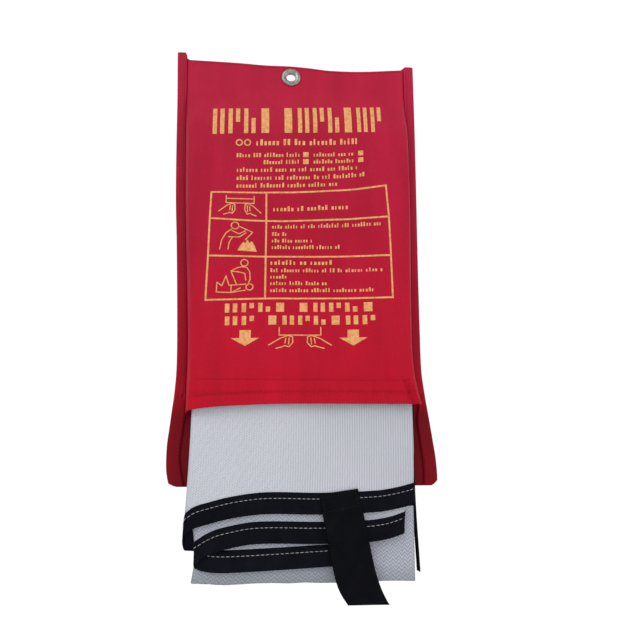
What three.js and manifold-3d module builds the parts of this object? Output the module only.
// A fire blanket in its hanging fabric pouch, with the folded blanket drawn halfway out.
// Millimetres. +Z points up, the printed front faces -Y, and the wall is the plane Y = 0.
// The origin is the centre of the hanging eyelet, in the plane of the wall.
import * as THREE from "three";
import { mergeVertices } from "three/addons/utils/BufferGeometryUtils.js";
import Module from "manifold-3d";

const wasm = await Module();
wasm.setup();

// Blanket, folded
const PACK_WIDTH = 211;
const PACK_HEIGHT = 300;
const PACK_THICKNESS = 17;
const DRAWN_OUT = 158;
const LAYER_THICKNESS = 3.5;
const LOWEST_HEM = 13;
const HEM_SPACES = [3, 8];
const HEM_DROPS = [2, 3, 9];
const HEM_LIFTS = [2, 6, 7];
const BINDING_HEIGHT = 18;
const BINDING_THICKNESS = 1;
const BINDING_END_INSET = 1;
const SIDE_BINDING_WIDTH = 8;
const BINDING_STITCH_INSET = 5;

// Pull tape
const TAPE_WIDTH = 37;
const TAPE_THICKNESS = 1.2;
const TAPE_SEWN = 19;
const TAPE_FREE = 79;
const TAPE_LEAN = 13;
const TAPE_CENTRE = 36;

// Pouch: it is cut to fit the pack, so its sizes are added to the pack's
const SIDE_ROOM = 5;
const FRONT_ROOM = 0.7;
const SIDE_HEM_TOP = 9;
const SIDE_HEM_MOUTH = 13;
const TOP_FLARE = 6.5;
const WAIST_DRAW = 2;
const FLAP_FLARE = 6;
const FLAP_DROP = 75;
const FLAP_CORNER = 14;
const LEFT_EAR_RISE = 11;
const RIGHT_EAR_RISE = 6;
const MOUTH_HEM = 22;
const SLOPE_LENGTH = 48;
const SIDE_ROUND = 6;
const FABRIC = 0.8;

// Eyelet
const HEADER_ABOVE = 3.25;
const HEADER_BELOW = 3.25;
const EYELET_OFFSET = 9;
const EYELET_OUTER = 21.5;
const EYELET_BORE = 10.5;
const EYELET_WALL = 0.7;
const FLANGE_THICKNESS = 1.5;
const WASHER_THICKNESS = 0.8;

// Thread and clearances
const THREAD = 0.7;
const CLEARANCE = 0.3;
const SEAM_INSET = 3;
const PACK_CLEARANCE = 0.8;
const HINGE_GAP = 0.6;

// Levels from the top down
const rim = EYELET_OUTER / 2;
const topZ = rim + HEADER_ABOVE;
const stepZ = -rim - 2 * CLEARANCE;
const slopeTopZ = -rim - HEADER_BELOW;
const fullZ = slopeTopZ - SLOPE_LENGTH;
const mouthZ = fullZ - PACK_HEIGHT;
const waistZ = mouthZ + 1.5 * MOUTH_HEM;
const flapZ = mouthZ - FLAP_DROP;
const packBottomZ = mouthZ - DRAWN_OUT;
const packTopZ = packBottomZ + PACK_HEIGHT;

// Widths, as distances from the pouch's centre line
const centreX = EYELET_OFFSET;
const packHalf = PACK_WIDTH / 2;
const bindingHalf = packHalf - BINDING_END_INSET;
const frontMouthHalf = packHalf + SIDE_ROOM;
const mouthHalf = frontMouthHalf + SIDE_HEM_MOUTH;
const topHalf = mouthHalf + TOP_FLARE;
const waistHalf = mouthHalf - WAIST_DRAW;
const flapHalf = mouthHalf + FLAP_FLARE;
const frontTopHalf = topHalf - SIDE_HEM_TOP;
const farX = 4 * topHalf;

// Depths, from the wall forwards
const layer = FABRIC + CLEARANCE;
const threadLift = CLEARANCE + THREAD / 2;
const headerStep = WASHER_THICKNESS + 2 * CLEARANCE;
const slopeTopY = -layer - FABRIC - headerStep;
const headerRear = slopeTopY + FABRIC;
const baseY = -layer;
const packRearY = -FABRIC - PACK_CLEARANCE;
const packFrontY = packRearY - PACK_THICKNESS;
const tapeRear = packFrontY - CLEARANCE - BINDING_THICKNESS - CLEARANCE - THREAD - CLEARANCE;
const tapeFront = tapeRear - TAPE_THICKNESS;
const pouchDepth = -(tapeFront - CLEARANCE - THREAD) + FRONT_ROOM + layer + FABRIC;
const farY = 2 * pouchDepth;

const group = new THREE.Group();

const finishes = {
  redFabric: { color: 0xb5152b, roughness: 0.55, metalness: 0 },
  redThread: { color: 0xa01024, roughness: 0.8, metalness: 0 },
  steel: { color: 0xc9c9cc, roughness: 0.3, metalness: 1 },
  glassCloth: { color: 0xd9dadd, roughness: 0.75, metalness: 0 },
  blackBinding: { color: 0x14141a, roughness: 0.8, metalness: 0 },
  whiteThread: { color: 0xd8d4c4, roughness: 0.8, metalness: 0 },
};

function addPart(name, geometry, finish) {
  const mesh = new THREE.Mesh(geometry, new THREE.MeshStandardMaterial(finishes[finish]));
  mesh.name = name;
  group.add(mesh);
}

// Solids for cutting and joining
function solid(geometry) {
  const bare = geometry.clone();
  bare.deleteAttribute("normal");
  bare.deleteAttribute("uv");
  const merged = mergeVertices(bare, 1e-4);
  const mesh = new wasm.Mesh({
    numProp: 3,
    vertProperties: new Float32Array(merged.attributes.position.array),
    triVerts: new Uint32Array(merged.index.array),
  });
  return new wasm.Manifold(mesh);
}

function geometryOf(manifold) {
  const mesh = manifold.getMesh();
  const geometry = new THREE.BufferGeometry();
  geometry.setAttribute("position", new THREE.BufferAttribute(mesh.vertProperties, 3));
  geometry.setIndex(new THREE.BufferAttribute(mesh.triVerts, 1));
  geometry.computeVertexNormals();
  return geometry;
}

function box(x0, x1, y0, y1, z0, z1) {
  const geometry = new THREE.BoxGeometry(x1 - x0, y1 - y0, z1 - z0);
  geometry.translate((x0 + x1) / 2, (y0 + y1) / 2, (z0 + z1) / 2);
  return geometry;
}

// A shape drawn in X and Z, as a plate between the planes Y = front and Y = rear
function plate(shape, front, rear) {
  const geometry = new THREE.ExtrudeGeometry(shape, { depth: rear - front, bevelEnabled: false });
  geometry.rotateX(Math.PI / 2);
  geometry.translate(0, rear, 0);
  return geometry;
}

// A profile drawn in Y and Z, as a bar across the pouch
function bar(profile) {
  const geometry = new THREE.ExtrudeGeometry(shapeOf(profile), { depth: 2 * farX, bevelEnabled: false });
  geometry.translate(0, 0, -farX);
  const across = new THREE.Vector3(1, 0, 0);
  const deep = new THREE.Vector3(0, 1, 0);
  const up = new THREE.Vector3(0, 0, 1);
  return solid(geometry.applyMatrix4(new THREE.Matrix4().makeBasis(deep, up, across)));
}

// A plate that steps forwards above the header line, where the eyelet pinches the pouch flat
function steppedPlate(shape, front, rear) {
  const bridgeTop = stepZ + rear;
  const low = flapZ;
  const high = topZ + farY;
  const block = solid(plate(shape, front - 2 * headerStep, rear + headerStep));
  const profile = [
    [rear, low],
    [rear, bridgeTop],
    [rear - headerStep, bridgeTop],
    [rear - headerStep, high],
    [front - headerStep, high],
    [front - headerStep, bridgeTop - FABRIC],
    [front, bridgeTop - FABRIC],
    [front, low],
  ];
  return block.intersect(bar(profile));
}

// Half the pouch's width at the height z, drawn in at the waist where the blanket fills it
function outlineHalf(z) {
  const stations = [
    [flapZ + 2 * FLAP_CORNER, flapHalf],
    [mouthZ, mouthHalf],
    [waistZ, waistHalf],
    [fullZ, topHalf],
  ];
  if (z <= stations[0][0]) return stations[0][1];
  const i = stations.findIndex(([level]) => z < level);
  if (i < 0) return stations.at(-1)[1];
  const t = (z - stations[i - 1][0]) / (stations[i][0] - stations[i - 1][0]);
  const eased = i === 1 ? t * t * (3 - 2 * t) : t;
  return stations[i - 1][1] + (stations[i][1] - stations[i - 1][1]) * eased;
}

// Half the width of the front panel between its side seams
function seamHalf(z) {
  return frontTopHalf + ((frontMouthHalf - frontTopHalf) * (topZ - z)) / (topZ - mouthZ);
}

function levels(z0, z1, step) {
  const count = Math.max(1, Math.round(Math.abs(z1 - z0) / step));
  return Array.from({ length: count + 1 }, (_, i) => z0 + ((z1 - z0) * i) / count);
}

function shapeOf(points) {
  return new THREE.Shape(points.map(([x, z]) => new THREE.Vector2(x, z)));
}

// A strand's steps fall on its own points, so its bends stay where they are drawn
class Strand extends THREE.Curve {
  constructor(points) {
    super();
    this.points = points;
  }

  getPoint(t) {
    const place = t * (this.points.length - 1);
    const i = Math.min(Math.floor(place), this.points.length - 2);
    return this.points[i].clone().lerp(this.points[i + 1], place - i);
  }

  getUtoTmapping(u) {
    return u;
  }
}

// Thread: one continuous round strand through the given points
function thread(points) {
  const section = new THREE.Shape();
  section.absarc(0, 0, THREAD / 2, 0, 2 * Math.PI, false);
  return new THREE.ExtrudeGeometry(section, {
    steps: points.length - 1,
    extrudePath: new Strand(points),
    curveSegments: 3,
    bevelEnabled: false,
  });
}

// Pouch body: the back panel, with an ear at each top corner
function earedOutline(inner, bottomZ) {
  const heights = levels(bottomZ, topZ, 24);
  const right = heights.map((z) => [centreX + outlineHalf(z), z]);
  const left = heights.map((z) => [centreX - outlineHalf(z), z]).reverse();
  const ears = [
    [centreX + outlineHalf(topZ), topZ + RIGHT_EAR_RISE],
    [centreX + inner(topZ), topZ + RIGHT_EAR_RISE],
    [centreX + inner(topZ), topZ],
    [centreX - inner(topZ), topZ],
    [centreX - inner(topZ), topZ + LEFT_EAR_RISE],
    [centreX - outlineHalf(topZ), topZ + LEFT_EAR_RISE],
  ];
  return shapeOf([...right, ...ears, ...left]);
}

const eyeletHole = solid(
  new THREE.CylinderGeometry(
    EYELET_BORE / 2 + EYELET_WALL + CLEARANCE,
    EYELET_BORE / 2 + EYELET_WALL + CLEARANCE,
    farY,
    32,
  ),
);
const backSheet = steppedPlate(earedOutline(seamHalf, mouthZ + HINGE_GAP), -FABRIC, 0);
addPart("back_panel", geometryOf(backSheet.subtract(eyeletHole)), "redFabric");

// Side hems: the back panel's edges folded forward beside the front panel
function sideStrip(side, innerHalf, bottomZ, endZ, step) {
  const heights = levels(bottomZ, endZ, step);
  const outer = heights.map((z) => [centreX + side * outlineHalf(z), z]);
  const inner = heights.map((z) => [centreX + side * innerHalf(z), z]).reverse();
  return shapeOf([...outer, ...inner]);
}

const sides = { left: -1, right: 1 };
const earRise = { left: LEFT_EAR_RISE, right: RIGHT_EAR_RISE };
for (const [name, side] of Object.entries(sides)) {
  const besideFront = (z) => seamHalf(Math.min(z, topZ)) + CLEARANCE;
  const strip = sideStrip(side, besideFront, mouthZ + HINGE_GAP, topZ + earRise[name], 24);
  addPart(`${name}_side_hem`, geometryOf(steppedPlate(strip, -layer - FABRIC, -layer)), "redFabric");
}

// Front panel: a flat header, then a pillow that slopes out to the full depth over the blanket
function pillow(inset) {
  const top = topZ + farY;
  const bottom = mouthZ - pouchDepth;
  const outline = shapeOf([
    [centreX - seamHalf(bottom) + inset, bottom],
    [centreX + seamHalf(bottom) - inset, bottom],
    [centreX + seamHalf(top) - inset, top],
    [centreX - seamHalf(top) + inset, top],
  ]);
  const round = SIDE_ROUND - inset;
  const rise = pouchDepth - inset + baseY;
  const block = new THREE.ExtrudeGeometry(outline, {
    depth: pouchDepth,
    bevelThickness: rise,
    bevelSize: round,
    bevelOffset: -round,
    bevelSegments: 5,
  });
  block.rotateX(Math.PI / 2);
  block.translate(0, baseY + pouchDepth, 0);
  const slope = SLOPE_LENGTH / (pouchDepth + slopeTopY);
  const shift = inset * Math.hypot(1, 1 / slope);
  const lineZ = (y) => slopeTopZ + slope * (y - slopeTopY - shift);
  const rear = inset > 0 ? farY : baseY;
  return solid(block).intersect(bar([
    [rear, bottom - 1],
    [-pouchDepth + inset, bottom - 1],
    [-pouchDepth + inset, lineZ(-pouchDepth + inset)],
    ...headerProfile(inset, lineZ),
    [rear, inset > 0 ? slopeTopZ + FABRIC : slopeTopZ],
  ]));
}

// Where the slope meets the header: the outer profile holds the header, an inner one stops under it
function headerProfile(inset, lineZ) {
  if (inset > 0) return [[headerRear, lineZ(headerRear)], [headerRear, slopeTopZ + FABRIC]];
  return [[slopeTopY, slopeTopZ], [slopeTopY, topZ], [headerRear, topZ], [headerRear, slopeTopZ]];
}

// The part of a pillow in front of its seams, between two heights
function slice(manifold, z0, z1) {
  return manifold.intersect(solid(box(-farX, farX, -farY, baseY, z0, z1)));
}

const frontShell = slice(pillow(0).subtract(pillow(FABRIC)), mouthZ, topZ + 1);
addPart("front_panel", geometryOf(frontShell.subtract(eyeletHole)), "redFabric");

const hemShell = pillow(layer).subtract(pillow(layer + FABRIC));
addPart("mouth_hem", geometryOf(slice(hemShell, mouthZ, mouthZ + MOUTH_HEM)), "redFabric");

// Flap: the back panel's lower end, hinged at the mouth line
function roundedFlap(inset) {
  const shape = new THREE.Shape();
  const heights = levels(mouthZ - HINGE_GAP, flapZ + FLAP_CORNER, 8);
  const right = heights.map((z) => [centreX + outlineHalf(z) - inset, z]);
  const left = heights.map((z) => [centreX - outlineHalf(z) + inset, z]).reverse();
  const half = outlineHalf(flapZ) - inset;
  const corner = FLAP_CORNER - inset;
  const low = flapZ + inset;
  shape.moveTo(...right[0]);
  right.slice(1).forEach((p) => shape.lineTo(...p));
  shape.absarc(centreX + half - corner, low + corner, corner, 0, -Math.PI / 2, true);
  shape.absarc(centreX - half + corner, low + corner, corner, -Math.PI / 2, -Math.PI, true);
  left.forEach((p) => shape.lineTo(...p));
  return shape;
}

function flapPlate(front, rear) {
  return plate(roundedFlap(0), front, rear);
}

addPart("flap", geometryOf(solid(flapPlate(-FABRIC, 0))), "redFabric");
for (const [name, side] of Object.entries(sides)) {
  const strip = sideStrip(side, (z) => outlineHalf(z) - SIDE_HEM_MOUTH, flapZ, mouthZ - HINGE_GAP, 8);
  const hem = solid(plate(strip, -layer - FABRIC, -layer));
  const trimmed = hem.intersect(solid(flapPlate(-layer - FABRIC, -layer)));
  addPart(`flap_${name}_hem`, geometryOf(trimmed), "redFabric");
}

// Thread rows on the pouch
function frontCurve(z, lift) {
  const half = seamHalf(z) - SIDE_ROUND;
  const rise = pouchDepth + baseY + lift;
  const round = SIDE_ROUND + lift;
  const quarter = levels(0.15, 1, 0.1).map((t) => (t * Math.PI) / 2);
  const right = quarter.map((a) => [half + round * Math.cos(a), baseY - rise * Math.sin(a)]);
  const left = right.map(([x, y]) => [-x, y]).reverse();
  return [...right, ...left].map(([x, y]) => new THREE.Vector3(centreX + x, y, z));
}

for (const [name, rise] of [["lower", SEAM_INSET], ["upper", MOUTH_HEM - SEAM_INSET]]) {
  addPart(`mouth_stitching_${name}`, thread(frontCurve(mouthZ + rise, threadLift)), "redThread");
}

const headerThreadZ = topZ - HEADER_ABOVE / 2;
const headerThreadY = slopeTopY - threadLift;
const headerThreadHalf = seamHalf(topZ) - SEAM_INSET;
addPart(
  "header_stitching",
  thread([
    new THREE.Vector3(centreX - headerThreadHalf, headerThreadY, headerThreadZ),
    new THREE.Vector3(centreX, headerThreadY, headerThreadZ),
    new THREE.Vector3(centreX + headerThreadHalf, headerThreadY, headerThreadZ),
  ]),
  "redThread",
);

for (const [name, side] of Object.entries(sides)) {
  const y = -layer - FABRIC - threadLift;
  const x = (z) => centreX + side * (seamHalf(z) + SEAM_INSET);
  const rampZ = stepZ - 16 * headerStep;
  const straight = levels(mouthZ + SEAM_INSET, rampZ, 60);
  const points = [
    ...straight.map((z) => new THREE.Vector3(x(z), y, z)),
    new THREE.Vector3(x(rampZ / 2), y - headerStep, rampZ - rampZ / 4),
    new THREE.Vector3(x(topZ), y - headerStep, topZ),
  ];
  addPart(`${name}_side_stitching`, thread(points), "redThread");
}

for (const [name, side] of Object.entries(sides)) {
  const y = -layer - FABRIC - threadLift;
  const clear = packHalf + SEAM_INSET;
  const outline = roundedFlap(SEAM_INSET).getPoints(6);
  const beside = outline.filter((p) => side * (p.x - centreX) > clear);
  const points = beside.map((p) => new THREE.Vector3(p.x, y, p.y));
  addPart(`flap_${name}_stitching`, thread(points), "redThread");
}

// Eyelet: a flange with its barrel through the header, set over a rear washer
const bore = EYELET_BORE / 2;
const barrel = bore + EYELET_WALL;
const flangeRear = slopeTopY - CLEARANCE;
const flangeFront = flangeRear - FLANGE_THICKNESS;
const washerFront = -headerStep + CLEARANCE;
const ring = (points) => new THREE.LatheGeometry(points.map(([r, y]) => new THREE.Vector2(r, y)), 40);
addPart(
  "eyelet_flange",
  ring([
    [bore, flangeFront + 0.6 * FLANGE_THICKNESS],
    [barrel, flangeFront + 0.2 * FLANGE_THICKNESS],
    [(barrel + rim) / 2, flangeFront],
    [rim - 0.4 * FLANGE_THICKNESS, flangeFront + 0.2 * FLANGE_THICKNESS],
    [rim, flangeFront + 0.7 * FLANGE_THICKNESS],
    [rim, flangeRear],
    [barrel, flangeRear],
    [barrel, washerFront + WASHER_THICKNESS],
    [bore, washerFront + WASHER_THICKNESS],
    [bore, flangeFront + 0.6 * FLANGE_THICKNESS],
  ]),
  "steel",
);
addPart(
  "eyelet_washer",
  ring([
    [barrel + CLEARANCE, washerFront],
    [rim, washerFront],
    [rim - WASHER_THICKNESS / 2, washerFront + WASHER_THICKNESS],
    [barrel + CLEARANCE, washerFront + WASHER_THICKNESS],
    [barrel + CLEARANCE, washerFront],
  ]),
  "steel",
);

// Blanket: the folded pack, whose three front layers end in stepped, bound hems
const hemRises = [LOWEST_HEM];
HEM_SPACES.forEach((space, i) => hemRises.push(hemRises[i] + BINDING_HEIGHT + space));

function hemCurve(index, rise) {
  const base = packBottomZ + hemRises[index] + rise;
  const reach = packHalf / 2;
  return (x) => {
    const over = Math.max(0, Math.abs(x) - reach) / (packHalf - reach);
    const end = x < 0 ? -HEM_DROPS[index] : HEM_LIFTS[index];
    return base + end * over * over;
  };
}

// A band in X and Z between two curves
function band(from, to, low, high) {
  const places = levels(from, to, 12);
  const under = places.map((x) => [centreX + x, low(x)]);
  const over = places.map((x) => [centreX + x, high(x)]).reverse();
  return shapeOf([...under, ...over]);
}

const layerCount = hemRises.length;
const layerFront = (i) => packFrontY + (layerCount - 1 - i) * LAYER_THICKNESS;
const lip = BINDING_THICKNESS + CLEARANCE;
const blockFront = layerFront(0) + LAYER_THICKNESS;
const block = band(-packHalf, packHalf, () => packBottomZ, () => packTopZ);
let cloth = solid(plate(block, blockFront, packRearY));
for (let i = 0; i < layerCount; i++) {
  const sheet = band(-bindingHalf, bindingHalf, hemCurve(i, lip), () => packTopZ);
  cloth = cloth.add(solid(plate(sheet, layerFront(i), blockFront)));
}
addPart("blanket_cloth", geometryOf(cloth), "glassCloth");

// The third layer's binding ends under the pull tape, and the others run right across
const bands = [
  ["third_layer", TAPE_CENTRE + TAPE_WIDTH / 4],
  ["second_layer", bindingHalf],
  ["front_layer", bindingHalf],
];
bands.forEach(([name, end], i) => {
  const rear = layerFront(i) - CLEARANCE;
  const front = rear - BINDING_THICKNESS;
  const face = band(-bindingHalf, end, hemCurve(i, 0), hemCurve(i, BINDING_HEIGHT));
  const under = band(-bindingHalf, end, hemCurve(i, 0), hemCurve(i, BINDING_THICKNESS));
  const underRear = layerFront(i) + LAYER_THICKNESS - CLEARANCE;
  const binding = solid(plate(face, front, rear)).add(solid(plate(under, front, underRear)));
  addPart(`binding_${name}`, geometryOf(binding), "blackBinding");
  const row = hemCurve(i, BINDING_HEIGHT - BINDING_STITCH_INSET);
  const points = levels(SEAM_INSET - bindingHalf, end - SEAM_INSET, 16).map(
    (x) => new THREE.Vector3(centreX + x, front - threadLift, row(x)),
  );
  addPart(`binding_stitching_${name}`, thread(points), "whiteThread");
});

// The sheet's side edge runs up the right of the pack
const sideX = centreX + packHalf + CLEARANCE;
addPart(
  "binding_side_edge",
  box(
    sideX,
    sideX + BINDING_THICKNESS,
    blockFront + CLEARANCE - SIDE_BINDING_WIDTH / 4,
    blockFront + CLEARANCE - SIDE_BINDING_WIDTH / 4 + SIDE_BINDING_WIDTH,
    packBottomZ + LOWEST_HEM,
    packTopZ - LOWEST_HEM,
  ),
  "blackBinding",
);

// Pull tape, leaning to the right, sewn across the front layer's binding
const lean = (TAPE_LEAN * Math.PI) / 180;
const hingeZ = packBottomZ + hemRises[layerCount - 1];

// A place on the tape, along it downwards from the hinge line and across it
function onTape(across, down) {
  const x = centreX + TAPE_CENTRE + across * Math.cos(lean) + down * Math.sin(lean);
  return [x, hingeZ + across * Math.sin(lean) - down * Math.cos(lean)];
}

// A length of the tape, whose lower end is cut square or level
function tapePiece(from, to, slant) {
  const half = TAPE_WIDTH / 2;
  const corners = [
    onTape(-half, to - slant),
    onTape(half, to + slant),
    onTape(half, from),
    onTape(-half, from),
  ];
  return plate(shapeOf(corners), tapeFront, tapeRear);
}

const levelCut = (TAPE_WIDTH / 2) * Math.tan(lean);
addPart("pull_tape_sewn_end", tapePiece(-TAPE_SEWN, -HINGE_GAP, 0), "blackBinding");
addPart("pull_tape", tapePiece(HINGE_GAP, TAPE_FREE, levelCut), "blackBinding");

const stitchHalf = TAPE_WIDTH / 2 - SEAM_INSET;
const boxStitch = [
  [-stitchHalf + THREAD * 2, -TAPE_SEWN + SEAM_INSET],
  [stitchHalf, -TAPE_SEWN + SEAM_INSET],
  [stitchHalf, -SEAM_INSET],
  [-stitchHalf, -SEAM_INSET],
  [-stitchHalf, -TAPE_SEWN + SEAM_INSET + THREAD * 2],
];
addPart(
  "pull_tape_stitching",
  thread(boxStitch.map(([a, d]) => {
    const [x, z] = onTape(a, d);
    return new THREE.Vector3(x, tapeFront - threadLift, z);
  })),
  "blackBinding",
);

export default group;
